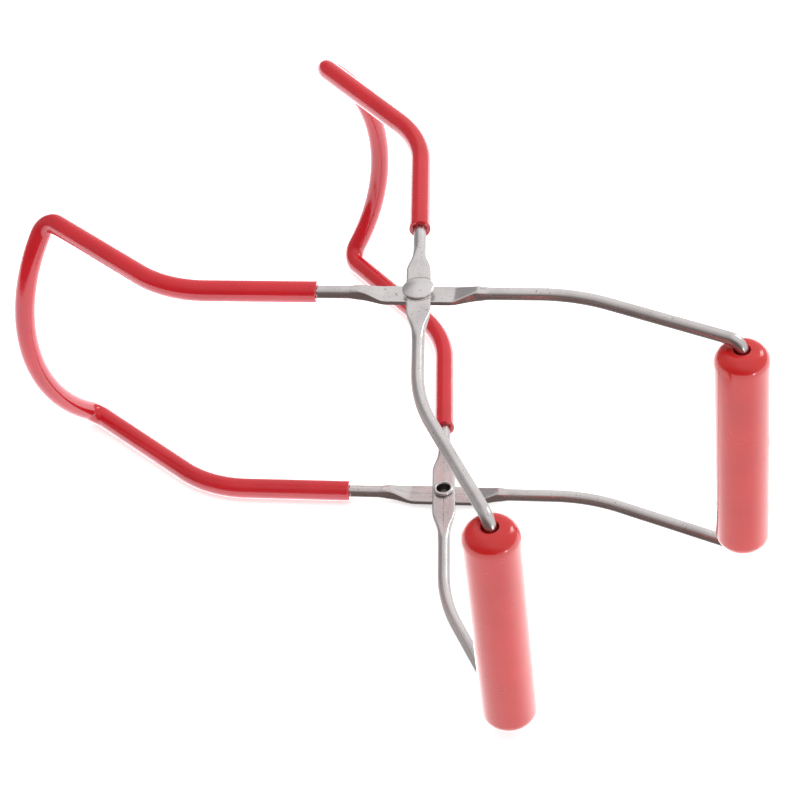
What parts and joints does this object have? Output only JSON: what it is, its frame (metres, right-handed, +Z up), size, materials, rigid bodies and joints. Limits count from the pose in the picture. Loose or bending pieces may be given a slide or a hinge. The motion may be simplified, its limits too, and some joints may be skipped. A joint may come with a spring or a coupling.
{
  "type": "jar lifter",
  "caption": "Scissor tongs of bent steel wire with curved, sleeved jaws and round hand grips, for lifting hot preserving jars.",
  "frame": {"origin": "on the surface that the lifter lies on, under the middle of its bounding box", "axes": "+X from the jaws to the grips along the length of the tongs, +Y across the opening, +Z up along the hinge axis"},
  "size_m": [0.2266, 0.167, 0.0975],
  "materials": {
    "wire": "drawn stainless wire, satin with fine lengthwise lines",
    "rivet": "bright rolled steel",
    "sleeve": "glossy soft vinyl",
    "grip": "glossy moulded plastic"
  },
  "bodies": {
    "frame_b": {"wire_frame_b": "wire", "jaw_sleeve_b": "sleeve", "rivet_upper": "rivet", "rivet_lower": "rivet"},
    "frame_a": {"wire_frame_a": "wire", "jaw_sleeve_a": "sleeve"},
    "grip_a": {"grip_a": "grip"},
    "grip_b": {"grip_b": "grip"}
  },
  "joints": [
    {"name": "jaw_hinge", "type": "hinge", "parent": "frame_b", "child": "frame_a", "pos_m": [0.01401, 0, 0.04875], "axis": [0, 0, -1], "range_deg": [-46, 60]},
    {"name": "grip_a_spin", "type": "hinge", "parent": "frame_a", "child": "grip_a", "pos_m": [0.10472, -0.05199, 0.04875], "axis": [0, 0, 1], "continuous": true},
    {"name": "grip_b_spin", "type": "hinge", "parent": "frame_b", "child": "grip_b", "pos_m": [0.10472, 0.05199, 0.04875], "axis": [0, 0, 1], "continuous": true}
  ]
}
